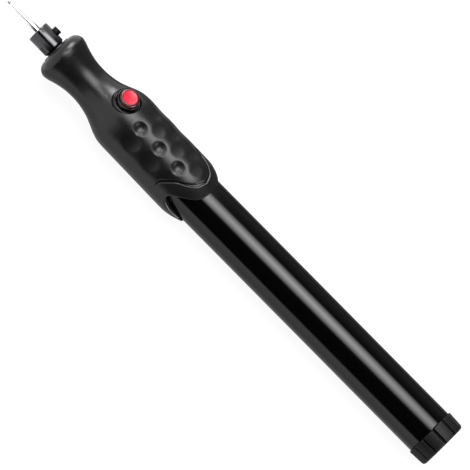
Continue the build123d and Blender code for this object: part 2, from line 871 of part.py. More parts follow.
def pen():
    """Every node of the pen by name."""
    form = grip_form(0, 0)
    form_under = grip_form(1, nose_cover)
    nodes = {
        "tail_cap": tail_cap(),
        "tail_plug": tail_plug(),
        "tail_spring": tail_spring(),
        "barrel_tube": barrel(),
        "rear_cell": cell(cells_x),
        "front_cell": cell(cells_x + cell_length),
        "positive_contact": positive_contact(),
        "contact_carrier": contact_carrier(),
        "barrel_contact": barrel_contact(),
        "grip_housing": grip_housing(form, form_under),
        "grip_cover": grip_cover(form, form_under),
        "switch_bezel": switch_bezel(),
        "switch_body": switch_body(),
        "switch_terminals": Compound(children=switch_terminals()),
        "button_cap": button_cap(),
        "button_plunger": button_plunger(),
        "button_spring": button_spring(),
        "motor_can": motor_can(),
        "motor_end_cap": motor_end_cap(),
        "motor_terminals": Compound(children=terminal_tabs(0)),
        "motor_brushes": Compound(children=brush_leaves(0)),
        "motor_front_bush": motor_bush(front_wall_x - front_bush_length, front_bush_length + front_bush_stand),
        "motor_rear_bush": motor_bush(motor_x, rear_bush_length),
        "motor_magnet": motor_magnet(),
        "rotor_hub": rotor_hub(),
        "rotor_winding": rotor_winding(),
        "commutator": commutator(),
        "motor_shaft": motor_shaft(),
        "collar": collar(),
        "set_screw": set_screw(),
        "bit_shank": bit_shank(),
        "bit_head": bit_head(),
    }
    for name, points in leads().items():
        nodes[name] = lead(points, name)
    return nodes


nodes = pen()
lowest = min(nodes[name].bounding_box().min.Z for name in ("grip_housing", "grip_cover"))
os.makedirs("parts", exist_ok=True)
for name, shape in nodes.items():
    export_step(Pos(-pen_length / 2, 0, -lowest) * shape, f"parts/{name}.step")
print("pen length", round(pen_length, 2), "height of the barrel's axis", round(-lowest, 3))
print("foot of the button spring", round(switch_top_z - lowest, 3))
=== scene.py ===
# %% [markdown]
# Electric engraving pen, dressed in Blender.
# The CAD model of the pen is loaded first and stays as it is: it says where every piece lies and how
# it moves. Each cell after that makes one visible piece or one finish of the pen, in metres, in the
# same frame. X runs along the pen towards its tip, Z is up through the button, and Y is across.

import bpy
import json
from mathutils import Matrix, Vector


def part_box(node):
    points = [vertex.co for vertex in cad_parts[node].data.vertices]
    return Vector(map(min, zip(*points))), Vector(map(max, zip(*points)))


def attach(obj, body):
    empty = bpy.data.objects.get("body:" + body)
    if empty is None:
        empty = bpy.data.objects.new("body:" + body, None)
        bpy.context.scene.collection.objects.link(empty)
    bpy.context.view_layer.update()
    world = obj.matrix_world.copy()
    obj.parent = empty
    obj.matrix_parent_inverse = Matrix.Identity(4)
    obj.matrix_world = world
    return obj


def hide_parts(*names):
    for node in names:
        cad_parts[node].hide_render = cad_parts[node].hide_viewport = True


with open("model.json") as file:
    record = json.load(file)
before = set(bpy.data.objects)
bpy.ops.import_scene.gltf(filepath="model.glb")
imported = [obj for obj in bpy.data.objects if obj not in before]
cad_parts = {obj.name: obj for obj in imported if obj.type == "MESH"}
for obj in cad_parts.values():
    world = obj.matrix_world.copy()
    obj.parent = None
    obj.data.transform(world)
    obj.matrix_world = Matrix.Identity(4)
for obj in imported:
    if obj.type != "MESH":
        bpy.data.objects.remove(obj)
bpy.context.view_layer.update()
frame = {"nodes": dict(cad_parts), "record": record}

# %% [markdown]
# The pen is a few long round pieces on two lines: the barrel's axis, and a spindle axis a little
# above it. So most places are given as millimetres from the tail face, and heights as millimetres
# from the barrel's axis. Those two lines are measured on the loaded model and not typed in again.

# %% Measures taken from the model
import bpy
import bmesh
import json
import math
from mathutils import Matrix, Vector, noise

mm = 0.001


def span(node, axis):
    """The lowest and highest place of a node along one axis, in metres."""
    low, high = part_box(node)
    return low[axis], high[axis]


tail = span("tail_cap", 0)[0]
axis_height = sum(span("barrel_tube", 2)) / 2
spindle_rise = (sum(span("collar", 2)) / 2 - axis_height) / mm


def start_of(node):
    """Where a node starts, in millimetres from the tail face."""
    return (span(node, 0)[0] - tail) / mm


def end_of(node):
    """Where a node ends, in millimetres from the tail face."""
    return (span(node, 0)[1] - tail) / mm


def half_width(node):
    """Half of a node's width across the pen, in millimetres."""
    return (span(node, 1)[1] - span(node, 1)[0]) / 2 / mm


def heights(node):
    """The lowest and highest place of a node above the barrel's axis, in millimetres."""
    return [(height - axis_height) / mm for height in span(node, 2)]


def placed(along, across, up):
    """A point in metres, from millimetres along the pen, across it and above the barrel's axis."""
    return Vector((tail + along * mm, across * mm, axis_height + up * mm))


barrel_radius = half_width("barrel_tube")
print("barrel radius", round(barrel_radius, 3), "spindle rise", round(spindle_rise, 3))

# %% [markdown]
# The camera stands a long way off with a long lens, because the pen shows no perspective. It looks
# from above and from the right-hand side, and it is turned about its own line of sight so that
# the tip points to the upper left. Its axes are built from two angles instead of aiming it by hand.

# %% Camera
picture_side = 470
millimetres_per_pixel = 0.2657
view_lean = math.radians(32)
view_turn = math.radians(45.33)
camera_distance = 4.0
sensor = 36.0
aim_along = 78.83
aim_across_picture = 0.07

line_of_sight = Vector((0, math.sin(view_lean), math.cos(view_lean)))
across_pen = Vector((0, -math.cos(view_lean), math.sin(view_lean)))
along_pen = Vector((1, 0, 0))
picture_right = across_pen * math.sin(view_turn) - along_pen * math.cos(view_turn)
picture_up = along_pen * math.sin(view_turn) + across_pen * math.cos(view_turn)

camera_data = bpy.data.cameras.new("camera")
camera_data.sensor_width = sensor
picture_width = picture_side * millimetres_per_pixel * mm
camera_data.lens = sensor * camera_distance / picture_width
camera = bpy.data.objects.new("camera", camera_data)
bpy.context.scene.collection.objects.link(camera)
aim = placed(aim_along, 0, 0) + across_pen * aim_across_picture * mm
turned_axes = Matrix((picture_right, picture_up, line_of_sight)).transposed()
camera.matrix_world = Matrix.Translation(aim + line_of_sight * camera_distance) @ turned_axes.to_4x4()
bpy.context.scene.camera = camera
print("lens", round(camera_data.lens, 1), "mm")

# %% [markdown]
# A Principled shader and a few nodes make each finish here. Two small helpers keep that readable:
# one adds a node and sets its values, the other links two sockets by name. The view transform is
# Standard, so a colour renders as it is written.

# %% Materials by node
scene = bpy.context.scene
scene.view_settings.view_transform = "Standard"


def new_material(name):
    """An empty node material with its output, and helpers to add and join nodes."""
    material = bpy.data.materials.new(name)
    material.use_nodes = True
    material.node_tree.nodes.clear()
    return material


def node_in(material, kind, **values):
    """Adds a node to a material or the world, and sets its properties and unlinked sockets by name."""
    node = material.node_tree.nodes.new(kind)
    for key, value in values.items():
        if hasattr(node, key):
            setattr(node, key, value)
        else:
            node.inputs[key.replace("_", " ")].default_value = value
    return node


def join(material, source, output, target, socket):
    """Links an output of one node to a socket of another."""
    material.node_tree.links.new(source.outputs[output], target.inputs[socket])


# %% [markdown]
# The floor and the sky are white to the camera, to mirrors and to clear material, and plain grey to
# the light that falls on the pen. So the picture has a white ground with the pen's own faint shadow,
# and the black pieces aren't washed out by it. Light Path's ray kinds choose between the two.

# %% Floor and world
def mirror_and_camera_rays(owner):
    """One where the ray comes from the camera, a mirror or clear material, and zero elsewhere."""
    path = node_in(owner, "ShaderNodeLightPath")
    first = node_in(owner, "ShaderNodeMath", operation="ADD", use_clamp=True)
    second = node_in(owner, "ShaderNodeMath", operation="ADD", use_clamp=True)
    join(owner, path, "Is Camera Ray", first, 0)
    join(owner, path, "Is Glossy Ray", first, 1)
    join(owner, first, 0, second, 0)
    join(owner, path, "Is Transmission Ray", second, 1)
    return second


floor_shown_share = 0.12
floor_glow = 0.93
floor_colour = 0.8
floor_side = 6.0


def floor_material():
    """White to the eye, with the pen's shadow left faintly in it."""
    material = new_material("white_floor")
    glow = node_in(material, "ShaderNodeEmission", Color=(1, 1, 1, 1), Strength=floor_glow)
    shown = node_in(material, "ShaderNodeBsdfDiffuse", Color=(floor_shown_share,) * 3 + (1,))
    seen = node_in(material, "ShaderNodeAddShader")
    lit = node_in(material, "ShaderNodeBsdfDiffuse", Color=(floor_colour,) * 3 + (1,))
    choice = node_in(material, "ShaderNodeMixShader")
    output = node_in(material, "ShaderNodeOutputMaterial")
    join(material, glow, 0, seen, 0)
    join(material, shown, 0, seen, 1)
    join(material, mirror_and_camera_rays(material), 0, choice, 0)
    join(material, lit, 0, choice, 1)
    join(material, seen, 0, choice, 2)
    join(material, choice, 0, output, "Surface")
    return material


def stage_object(bm, name, material):
    """Makes a part of the studio from a bmesh."""
    mesh = bpy.data.meshes.new(name)
    bm.to_mesh(mesh)
    bm.free()
    mesh.materials.append(material)
    thing = bpy.data.objects.new(name, mesh)
    scene.collection.objects.link(thing)
    return thing


floor_bm = bmesh.new()
bmesh.ops.create_grid(floor_bm, x_segments=2, y_segments=2, size=floor_side / 2)
stage_object(floor_bm, "floor", floor_material())

world = bpy.data.worlds.new("studio")
world.use_nodes = True
scene.world = world
world.node_tree.nodes.clear()
room_fill = 0.25
shown_sky = node_in(world, "ShaderNodeBackground", Color=(1, 1, 1, 1), Strength=1.0)
fill_sky = node_in(world, "ShaderNodeBackground", Color=(1, 1, 1, 1), Strength=room_fill)
sky_choice = node_in(world, "ShaderNodeMixShader")
sky_output = node_in(world, "ShaderNodeOutputWorld")
join(world, mirror_and_camera_rays(world), 0, sky_choice, 0)
join(world, fill_sky, 0, sky_choice, 1)
join(world, shown_sky, 0, sky_choice, 2)
join(world, sky_choice, 0, sky_output, "Surface")
print("floor", floor_side, "m across, sky at", room_fill)


# %% [markdown]
# A gloss black tube is drawn by what it mirrors. Overhead hangs a soft box with a narrow spread, which
# makes the white band along the barrel. Other lamps stand past the tip and past the tail, where the
# barrel can't mirror them: a strip draws the streak down the neck, a box lights the lower walls of the
# dimples, and a wide box draws a thin light line along the rounded edge of the skirt.

# %% Lamps
def lamp(name, place, towards, length, width, radiance, spread):
    """A rectangular soft lamp of a given brightness on its axis, that shines at a point."""
    light = bpy.data.lights.new(name, "AREA")
    light.shape = "RECTANGLE"
    light.size = length
    light.size_y = width
    light.spread = spread
    gain = 1.0
    if spread < math.pi:
        gain = math.tan(spread / 2) / (math.tan(spread / 2) - spread / 2)
    light.energy = radiance * math.pi * length * width / gain
    thing = bpy.data.objects.new(name, light)
    thing.location = place
    back = (Vector(place) - Vector(towards)).normalized()
    side = Vector((1, 0, 0))
    side = (side - back * side.dot(back)).normalized()
    thing.rotation_mode = "QUATERNION"
    thing.rotation_quaternion = Matrix((side, back.cross(side), back)).transposed().to_quaternion()
    thing.visible_camera = False
    scene.collection.objects.link(thing)
    return thing


box_height = 0.5
box_ends = (-0.4, 0.13)
box_spread = math.radians(54)
box_radiance = 8.5
box_middle = sum(box_ends) / 2
box_width = 2 * math.tan(box_spread / 2) * box_height
lamp("overhead_box", (box_middle, 0, box_height), (box_middle, 0, 0), box_ends[1] - box_ends[0], box_width,
     box_radiance, box_spread)
mirror_lamps = (
    ("neck_strip", (0.27, 0.1, 0.5), (0.05, 0, 0), 0.3, 0.05, 10.0),
    ("skirt_box", (-0.85, 0, 0.33), (0.01, 0, 0), 0.3, 0.55, 9.0),
    ("dimple_box", (0.38, -0.32, 0.46), (0.03, 0, 0), 0.26, 0.34, 11.0),
)
for name, place, towards, length, width, radiance in mirror_lamps:
    lamp(name, place, towards, length, width, radiance, math.pi)

# %% [markdown]
# Black cloth makes the black on either side of the white band, as in a studio. It is a half round
# tent over the barrel and the grip, and it ends above the nose, so that the bright metal past it
# mirrors a white room. A narrow strip goes on from there: it is what draws the dark line along the
# bit. A lower flag on the camera's side hides the skirt's lamp from the near flank of the pen. A sheet
# on the ground gives back less light close to the pen, where the pen shades it. All of them are seen
# only by mirror rays, so they cast no shadow.

# %% Black tent, strip, flag and ground sheet
tent_radius = 0.62
tent_ends = (-1.5, 0.075)
tent_angles = (-math.pi / 2, math.pi / 2)
strip_ends = (0.075, 0.3)
strip_angles = (math.radians(22), math.radians(46))
near_flag_radius = 0.2
near_flag_ends = (-1.5, 0.06)
near_flag_angles = (math.radians(45), math.radians(90))
tent_steps = 24
tent_glow = 0.17
tent_glow_ends = (-0.62, -0.3)
sheet_reach = 0.12
sheet_height = 0.0004
sheet_end = 0.068
sheet_glow = ((-0.12, 0.0), (-0.08, 0.15), (-0.005, 0.25), (0.005, 0.45), (0.014, 0.5), (0.019, 0.68),
              (0.027, 0.84), (0.046, 0.95), (0.06, 0.95), (0.11, 0.0))


def glow_across(name, read_y):
    """Cloth with a glow that changes across the pen, as the given function adds it to the nodes."""
    material = new_material(name)
    place = node_in(material, "ShaderNodeTexCoord")
    parts = node_in(material, "ShaderNodeSeparateXYZ")
    glow = node_in(material, "ShaderNodeEmission", Color=(1, 1, 1, 1))
    output = node_in(material, "ShaderNodeOutputMaterial")
    join(material, place, "Object", parts, "Vector")
    read_y(material, parts, glow)
    join(material, glow, 0, output, "Surface")
    return material


def far_side_glow(material, parts, glow):
    """Black, with a little stray light low on the far side."""
    fade = node_in(material, "ShaderNodeMapRange", From_Min=tent_glow_ends[0], From_Max=tent_glow_ends[1],
                   To_Min=tent_glow, To_Max=0.0)
    join(material, parts, "Y", fade, "Value")
    join(material, fade, "Result", glow, "Strength")


def shaded_ground(material, parts, glow):
    """White ground that is darker beside the pen and black far off."""
    across = node_in(material, "ShaderNodeMapRange", From_Min=-sheet_reach, From_Max=sheet_reach)
    ramp = node_in(material, "ShaderNodeValToRGB")
    stops = ramp.color_ramp.elements
    for index, (place, level) in enumerate(sheet_glow):
        share = (place + sheet_reach) / (2 * sheet_reach)
        stop = stops[index] if index < 2 else stops.new(share)
        stop.position = share
        stop.color = (level, level, level, 1)
    join(material, parts, "Y", across, "Value")
    join(material, across, "Result", ramp, "Fac")
    join(material, ramp, "Color", glow, "Color")


def only_in_mirrors(thing):
    """Hides a flag from everything but mirror rays."""
    thing.visible_camera = False
    thing.visible_diffuse = False
    thing.visible_shadow = False
    thing.visible_transmission = False
    return thing


def arch(name, radius, ends, angles, material):
    """A stretch of round cloth over the pen, between two angles from straight up towards +Y."""
    bm = bmesh.new()
    first, last = angles
    foot = (radius * math.sin(first), radius * math.cos(first))
    bm.edges.new([bm.verts.new((place, *foot)) for place in ends])
    bmesh.ops.spin(bm, geom=bm.verts[:] + bm.edges[:], cent=(0, 0, 0), axis=(1, 0, 0), angle=first - last,
                   steps=tent_steps)
    return only_in_mirrors(stage_object(bm, name, material))


tent_cloth = glow_across("black_tent_cloth", far_side_glow)
arch("black_tent", tent_radius, tent_ends, tent_angles, tent_cloth)
arch("black_strip", tent_radius, strip_ends, strip_angles, tent_cloth)
arch("near_flag", near_flag_radius, near_flag_ends, near_flag_angles, tent_cloth)
sheet_bm = bmesh.new()
bmesh.ops.create_grid(sheet_bm, x_segments=1, y_segments=1, size=floor_side / 2)
bmesh.ops.translate(sheet_bm, vec=(sheet_end - floor_side / 2, 0, sheet_height), verts=sheet_bm.verts)
only_in_mirrors(stage_object(sheet_bm, "ground_sheet", glow_across("shaded_ground", shaded_ground)))

# %% [markdown]
# The finishes come next. Gloss and satin black look the same in colour and differ in roughness and in
# their fine relief, so each finish gets its own. All patterns read object coordinates, in metres.

# %% A plain surface with fine relief and slight wear in its gloss
broad_pattern_scale = 160.0


def surface(name, colour, roughness, metallic=0.0, specular=0.5, coat=0.0, grain=0.0002, relief=0.0,
            gloss_change=0.1, colour_change=0.15, stretch=(1, 1, 1)):
    """A finish whose tone and gloss wander a little, with a fine relief of one grain size."""
    material = new_material(name)
    shader = node_in(material, "ShaderNodeBsdfPrincipled", Metallic=metallic, Specular_IOR_Level=specular,
                     Coat_Weight=coat, Coat_Roughness=0.08)
    output = node_in(material, "ShaderNodeOutputMaterial")
    place = node_in(material, "ShaderNodeTexCoord")
    turn = node_in(material, "ShaderNodeMapping")
    turn.inputs["Scale"].default_value = stretch
    join(material, place, "Object", turn, "Vector")
    broad = node_in(material, "ShaderNodeTexNoise", Scale=broad_pattern_scale, Detail=3.0)
    join(material, turn, "Vector", broad, "Vector")
    gloss = node_in(material, "ShaderNodeMapRange", To_Min=roughness * (1 - gloss_change),
                    To_Max=roughness * (1 + gloss_change))
    join(material, broad, "Fac", gloss, "Value")
    join(material, gloss, "Result", shader, "Roughness")
    tone = node_in(material, "ShaderNodeMapRange", To_Min=1 - colour_change, To_Max=1 + colour_change)
    join(material, broad, "Fac", tone, "Value")
    tint = node_in(material, "ShaderNodeVectorMath", operation="SCALE")
    tint.inputs[0].default_value = colour
    join(material, tone, "Result", tint, "Scale")
    join(material, tint, "Vector", shader, "Base Color")
    if relief > 0:
        fine = node_in(material, "ShaderNodeTexNoise", Scale=1 / grain, Detail=2.0)
        bump = node_in(material, "ShaderNodeBump", Strength=1.0, Distance=relief)
        join(material, turn, "Vector", fine, "Vector")
        join(material, fine, "Fac", bump, "Height")
        join(material, bump, "Normal", shader, "Normal")
    join(material, shader, "BSDF", output, "Surface")
    return material


# %% Finishes of the pen
lacquer = surface("gloss_black_lacquer", (0.0012, 0.0012, 0.0014), 0.12, grain=0.0012, relief=0.0000008)
cap_plastic = surface("matt_cap_plastic", (0.004, 0.004, 0.0043), 0.5, specular=0.3, grain=0.0003,
                      relief=0.000012)
shell_plastic = surface("satin_shell_plastic", (0.006, 0.006, 0.0065), 0.3, grain=0.0002, relief=0.000006)
cover_rubber = surface("dimpled_cover_rubber", (0.005, 0.005, 0.0054), 0.3, grain=0.0003, relief=0.000006)
bezel_gloss = surface("gloss_black_bezel", (0.002, 0.002, 0.0024), 0.12)
collar_plating = surface("dark_polished_plating", (0.078, 0.078, 0.082), 0.15, metallic=1.0,
                         stretch=(6, 1, 1))
bit_steel = surface("polished_bit_steel", (0.88, 0.88, 0.89), 0.1, metallic=1.0, stretch=(5, 1, 1))
screw_oxide = surface("black_oxide_screw", (0.008, 0.008, 0.009), 0.42, specular=0.3)
head_grit = surface("abrasive_grit", (0.45, 0.44, 0.42), 0.4, metallic=0.8, grain=0.00009, relief=0.00003)
brass = surface("turned_brass", (0.72, 0.56, 0.28), 0.25, metallic=1.0, stretch=(8, 1, 1))

# %% Finishes of the pieces inside
inside_finishes = {
    "spring_steel": surface("drawn_spring_wire", (0.62, 0.62, 0.63), 0.3, metallic=1.0),
    "cell_jacket": surface("cell_jacket_film", (0.1, 0.24, 0.16), 0.35),
    "contact_brass": surface("stamped_brass", (0.74, 0.6, 0.32), 0.3, metallic=1.0),
    "carrier_plastic": surface("ivory_plastic", (0.78, 0.77, 0.72), 0.45, grain=0.0002, relief=0.000004),
    "motor_steel": surface("nickel_plated_can", (0.6, 0.6, 0.6), 0.25, metallic=1.0, stretch=(0.2, 1, 1)),
    "bush_bronze": surface("sintered_bronze", (0.6, 0.42, 0.22), 0.5, metallic=1.0, relief=0.00001),
    "magnet_alloy": surface("plated_magnet", (0.3, 0.3, 0.31), 0.35, metallic=1.0),
    "winding_copper": surface("enamelled_copper", (0.7, 0.34, 0.18), 0.3, metallic=1.0, stretch=(9, 1, 1)),
    "shaft_steel": surface("ground_shaft", (0.7, 0.7, 0.7), 0.18, metallic=1.0, stretch=(9, 1, 1)),
    "lead_red": surface("red_lead_jacket", (0.6, 0.04, 0.04), 0.45),
    "lead_black": surface("black_lead_jacket", (0.02, 0.02, 0.02), 0.45),
}
for subpart in frame["record"]["subparts"]:
    finish = inside_finishes.get(subpart["material_slot"])
    if finish:
        for slot in frame["nodes"][subpart["node"]].material_slots:
            slot.material = finish
print("finishes", len(bpy.data.materials))

# %% [markdown]
# Every piece of the pen ends the same way. Doubled vertices are merged, the faces are turned
# outwards, and the surface is smooth except where two faces meet at more than a set angle. Then the
# piece is hung on the body that carries it, and the CAD nodes it stands for are hidden.

# %% Finishing a piece
weld_distance = 0.001 * mm
crease_degrees = 35


def mesh_object(bm, name, material):
    """Turns a bmesh into an object, with its faces outwards and its sharp edges marked."""
    bmesh.ops.remove_doubles(bm, verts=bm.verts, dist=weld_distance)
    bmesh.ops.recalc_face_normals(bm, faces=bm.faces)
    for face in bm.faces:
        face.smooth = True
    for edge in bm.edges:
        edge.smooth = edge.calc_face_angle(0) < math.radians(crease_degrees)
    mesh = bpy.data.meshes.new(name)
    bm.to_mesh(mesh)
    open_edges = sum(1 for edge in bm.edges if len(edge.link_faces) != 2)
    print(name, len(mesh.polygons), "faces,", open_edges, "open edges")
    bm.free()
    mesh.materials.append(material)
    piece = bpy.data.objects.new(name, mesh)
    scene.collection.objects.link(piece)
    return piece


def keep(piece, body, slot, *nodes):
    """Hangs a finished piece on the body that carries it and hides the CAD nodes it stands for; slot is not
    used.
    """
    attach(piece, body)
    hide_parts(*nodes)


# %% [markdown]
# Most pieces are round, so each starts from an outline of a few corners, some of them rounded. The
# outline is either spun about its axis, or, where the section changes round the piece, laid on a
# grid: one way runs along the outline, the other way round the piece, and a function places each
# vertex. The grid keeps the piece one closed skin with even faces, which takes dimples and curves well.

# %% Outlines
round_steps = 128
arc_steps = 5


def with_rounds(corners, steps=arc_steps):
    """An outline of (along, radius) corners, where a third number rounds the corner."""
    outline = []
    for index, corner in enumerate(corners):
        here = Vector(corner[:2])
        if len(corner) == 2:
            outline.append(here)
            continue
        back = (Vector(corners[index - 1][:2]) - here).normalized()
        ahead = (Vector(corners[(index + 1) % len(corners)][:2]) - here).normalized()
        half = back.angle(ahead) / 2
        centre = here + (back + ahead).normalized() * corner[2] / math.sin(half)
        first = here + back * corner[2] / math.tan(half) - centre
        last = here + ahead * corner[2] / math.tan(half) - centre
        swing = math.pi - 2 * half
        for step in range(steps + 1):
            share = step / steps
            spoke = first * math.sin((1 - share) * swing) + last * math.sin(share * swing)
            outline.append(centre + spoke / math.sin(swing))
    return outline


def curve_through(table, place, column=1):
    """A smooth curve through the rows of a table, whose first column is the place."""
    place = min(max(place, table[0][0]), table[-1][0])
    index = max(row for row in range(len(table) - 1) if table[row][0] <= place)
    start, end = table[index], table[index + 1]

    def slope(row):
        before, after = table[max(row - 1, 0)], table[min(row + 1, len(table) - 1)]
        return (after[column] - before[column]) / (after[0] - before[0])

    width = end[0] - start[0]
    share = (place - start[0]) / width
    rest = 1 - share
    left = start[column] * (1 + 2 * share) * rest ** 2 + slope(index) * width * share * rest ** 2
    right = end[column] * (1 + 2 * rest) * share ** 2 - slope(index + 1) * width * rest * share ** 2
    return left + right


# %% Turned pieces and wrapped grids
def spun(points, centre, axis, closed):
    """Spins an outline of points about an axis into a full round."""
    bm = bmesh.new()
    verts = [bm.verts.new(point) for point in points]
    for before, after in zip(verts, verts[1:]):
        bm.edges.new((before, after))
    if closed:
        bm.edges.new((verts[-1], verts[0]))
    bmesh.ops.spin(bm, geom=bm.verts[:] + bm.edges[:], cent=centre, axis=axis, angle=2 * math.pi,
                   steps=round_steps, use_merge=True, use_duplicate=False)
    return bm


def turned_along(outline, rise=0.0, closed=False):
    """A piece turned about a line along the pen, from an outline of (along, radius)."""
    points = [placed(along, radius, rise) for along, radius in outline]
    return spun(points, placed(0, 0, rise), (1, 0, 0), closed)


def turned_upright(outline, along, closed=False):
    """A piece turned about the button's axis, from an outline of (radius, height)."""
    points = [placed(along, radius, up) for radius, up in outline]
    return spun(points, placed(along, 0, 0), (0, 0, 1), closed)


def even_turns(count):
    """Angles spaced evenly once round."""
    return [2 * math.pi * step / count for step in range(count)]


def round_the_pen(point, angle):
    """A point of a section (along, radius, rise), at an angle from straight up towards +Y."""
    along, radius, rise = point
    return placed(along, radius * math.sin(angle), rise + radius * math.cos(angle))


def wrapped(section_at_angle, angles, place=round_the_pen, closed=True):
    """Lays a grid on the sections of a piece, one at each angle."""
    sections = [section_at_angle(angle) for angle in angles]
    if closed:
        sections = [section + section[:1] for section in sections]
    rings = len(sections[0]) - 1
    turns = len(angles)
    bm = bmesh.new()
    bmesh.ops.create_grid(bm, x_segments=rings, y_segments=turns, size=0.5)
    for vert in bm.verts:
        ring = round((vert.co.x + 0.5) * rings)
        turn = round((vert.co.y + 0.5) * turns) % turns
        vert.co = place(sections[turn][ring], angles[turn])
    return bm


# %% [markdown]
# The barrel is a lacquered tube with both edges broken. The mirror image of a lamp runs the whole
# length of it, so it needs nothing but a true round and a good gloss.

# %% Barrel
barrel_start = start_of("barrel_tube")
barrel_end = end_of("barrel_tube")
bore_radius = barrel_radius - 1.4
edge_break = 0.25
bore_break = 0.15
barrel_outline = with_rounds([
    (barrel_start, bore_radius, bore_break),
    (barrel_start, barrel_radius, edge_break),
    (barrel_end, barrel_radius, edge_break),
    (barrel_end, bore_radius, bore_break),
])
barrel = mesh_object(turned_along(barrel_outline, closed=True), "barrel", lacquer)
keep(barrel, "handle", "barrel_lacquer", "barrel_tube")

# %% [markdown]
# The tail cap is moulded, a very low cone with a rounded end and twelve narrow grooves. The grooves
# aren't cut: the grid round the cap has vertices where the sides of the grooves are, and those
# between two sides are let down to the floor of the groove. So a groove runs out by itself on the
# rounded end, where the cap is already lower than its floor.

# %% Tail cap
cap_end = barrel_start - 0.02
cap_front_radius = barrel_radius + 0.45
cap_rear_radius = cap_front_radius - 0.25
cap_round = 0.9
cap_chamfer = 0.3
cap_pocket_radius = 6.07
cap_pocket_start = start_of("tail_plug")
pole_radius = 0.0005
groove_count = 12
groove_turn = math.radians(-7)
groove_half_width = 0.36
groove_depth = 1.05
groove_side_shares = ((-1.2, 0.0), (-1.0, 0.1), (-0.5, 0.6), (-0.1, 1.0), (0.1, 1.0), (0.5, 0.6),
                      (1.0, 0.1), (1.2, 0.0))
panel_steps = 12


def cap_turns():
    """Angles round the cap with the share of the groove's depth there, panel by panel."""
    side = groove_half_width / cap_front_radius
    panel = 2 * math.pi / groove_count
    reach = groove_side_shares[-1][0]
    steps = [(side * along, depth) for along, depth in groove_side_shares]
    free = panel - 2 * side * reach
    steps += [(side * reach + free * step / panel_steps, 0.0) for step in range(1, panel_steps)]
    return {groove_turn + panel * groove + angle: depth
            for groove in range(groove_count) for angle, depth in steps}


cap_depths = cap_turns()
cap_outline = with_rounds([
    (0, pole_radius), (0, cap_rear_radius / 2), (0, cap_rear_radius, cap_round),
    (cap_end, cap_front_radius, cap_chamfer), (cap_end, cap_pocket_radius, edge_break),
    (cap_pocket_start, cap_pocket_radius, bore_break), (cap_pocket_start, pole_radius),
], steps=8)


def cap_section(angle):
    """The cap's outline at an angle, let down where a groove is."""
    floor = cap_front_radius - groove_depth
    depth = cap_depths[angle]
    return [(along, radius - max(radius - floor, 0) * depth, 0) for along, radius in cap_outline]


cap = mesh_object(wrapped(cap_section, list(cap_depths), closed=False), "cap", cap_plastic)
keep(cap, "cap", "cap_plastic", "tail_cap")

# %% [markdown]
# The grip is two mouldings: a hard shell, whose skirt lies over the barrel, and a soft cover over it.
# Both follow one outer form, round at every place, swelling over the shell, narrow at the motor and
# flared at the nose, and its middle climbs from the barrel's axis to the spindle's. The form is given
# as stations, and every skin of the two mouldings reads its radius and its rise from them.

# %% Form of the grip
skirt_start = start_of("grip_housing")
nose = end_of("grip_cover")
button_place = sum(span("button_cap", 0)) / 2 / mm - tail / mm
grip_radius = 8.99
rim_radius = barrel_radius + 0.4
neck_radius = 5.55
bell_radius = neck_radius + 1.78
cover_wall = 0.95
bell_round = 2.8
bell_length = 9.45
nose_cover = 0.8
body_start = skirt_start + 7.3
shoulder_start = button_place - 3.8
bell_start = nose - bell_round
neck = bell_start - bell_length
skirt_shares = ((0, 0, 0, 0.1), (0.12, 0.22, 0, 0.2), (0.41, 0.65, 0.01, 0.55), (0.71, 0.93, 0.04, 0.85),
                (1, 1, 0.085, 1))
body_shares = ((0.34, 1, 0.23, 1), (0.7, 1, 0.39, 1), (0.92, 1, 0.485, 1))
shoulder_shares = ((0, 1, 0.52, 1), (0.15, 0.94, 0.54, 1), (0.29, 0.77, 0.55, 0.95),
                   (0.44, 0.5, 0.56, 0.86), (0.58, 0.27, 0.59, 0.78), (0.73, 0.11, 0.65, 0.7),
                   (0.87, 0.024, 0.7, 0.65), (1, 0, 0.745, 0.63))
bell_shares = ((0.25, 0.06, 0.79, 0.64), (0.46, 0.24, 0.84, 0.68), (0.68, 0.54, 0.89, 0.74),
               (0.88, 0.88, 0.93, 0.8), (1, 1, 0.945, 0.84))


def zone(start, end, start_radius, end_radius, shares):
    """Stations of one stretch of the grip: place, radius, rise and wall of the cover."""
    return [(start + (end - start) * along, start_radius + (end_radius - start_radius) * swell,
             spindle_rise * rise, cover_wall * wall) for along, swell, rise, wall in shares]


grip_form = (zone(skirt_start, body_start, rim_radius, grip_radius, skirt_shares)
             + zone(body_start, shoulder_start, rim_radius, grip_radius, body_shares)
             + zone(shoulder_start, neck, neck_radius, grip_radius, shoulder_shares)
             + zone(neck, bell_start, neck_radius, bell_radius, bell_shares))


def form_at(along, sunk=0.0, end=nose):
    """Radius and rise of the form, or of the form under the cover where sunk is 1."""
    radius = curve_through(grip_form, along, 1) - curve_through(grip_form, along, 3) * sunk
    rounding = end - bell_start
    if along > bell_start:
        radius += math.sqrt(max(rounding ** 2 - (along - bell_start) ** 2, 0)) - rounding
    return radius, curve_through(grip_form, along, 2)


print("grip from", round(skirt_start, 2), "to", round(nose, 2), "mm, button at", round(button_place, 2))

# %% [markdown]
# Two edges give the grip its look. The skirt's edge sweeps back over the barrel on top and opens in a
# curved notch at each side. The cover's edge runs from a tongue on top to a steep line at the sides.
# Each is a table of places by the angle from the button's plane, drawn as one smooth curve.

# %% Edges of the skirt and the cover
skirt_edge = ((0, 91.3), (22, 91.5), (32, 92.05), (39, 92.8), (46, 94.1), (54, 95.8), (63, 97.4),
              (71, 98.5), (79, 98.65), (87, 97.9), (96, 96.4), (106, 94.1), (115, 92.3), (124, 91.45),
              (135, 91.3), (180, 91.3))
cover_edge = ((0, 94.2), (14, 94.85), (22, 95.6), (32, 97.5), (40, 99.7), (50, 101.3), (60, 102.7),
              (70, 103.15), (90, 103.2), (180, 103.2))


